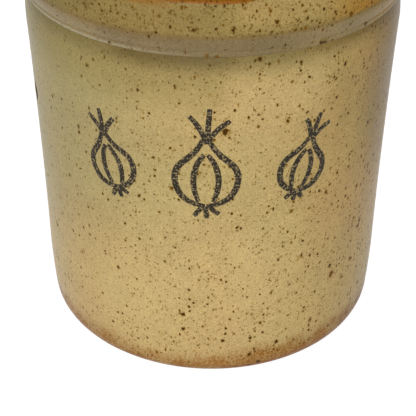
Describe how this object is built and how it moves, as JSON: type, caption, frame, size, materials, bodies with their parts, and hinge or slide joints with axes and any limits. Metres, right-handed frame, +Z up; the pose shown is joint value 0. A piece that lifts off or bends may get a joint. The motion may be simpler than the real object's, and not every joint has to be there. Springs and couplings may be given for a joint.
{
  "type": "onion keeper",
  "caption": "Round stoneware onion jar with a thick rolled collar, an air hole in each side, and a loose domed lid with a knob that drops onto a ledge inside the rim.",
  "frame": {"origin": "centre of the foot ring, on the surface that the jar stands on", "axes": "+Z up along the jar's axis; the jar's front faces -Y; the two air holes lie along X"},
  "size_m": [0.1858, 0.1857, 0.246],
  "materials": {
    "jar_glaze": "satin",
    "lid_glaze": "satin",
    "knob_glaze": "satin"
  },
  "bodies": {
    "jar": {"jar_body": "jar_glaze"},
    "lid": {"lid_plate": "lid_glaze", "lid_knob": "knob_glaze"}
  },
  "joints": [
    {"name": "lid_lift", "type": "slide", "parent": "jar", "child": "lid", "axis": [0, 0, 1], "range_m": [0, 0.16]}
  ]
}
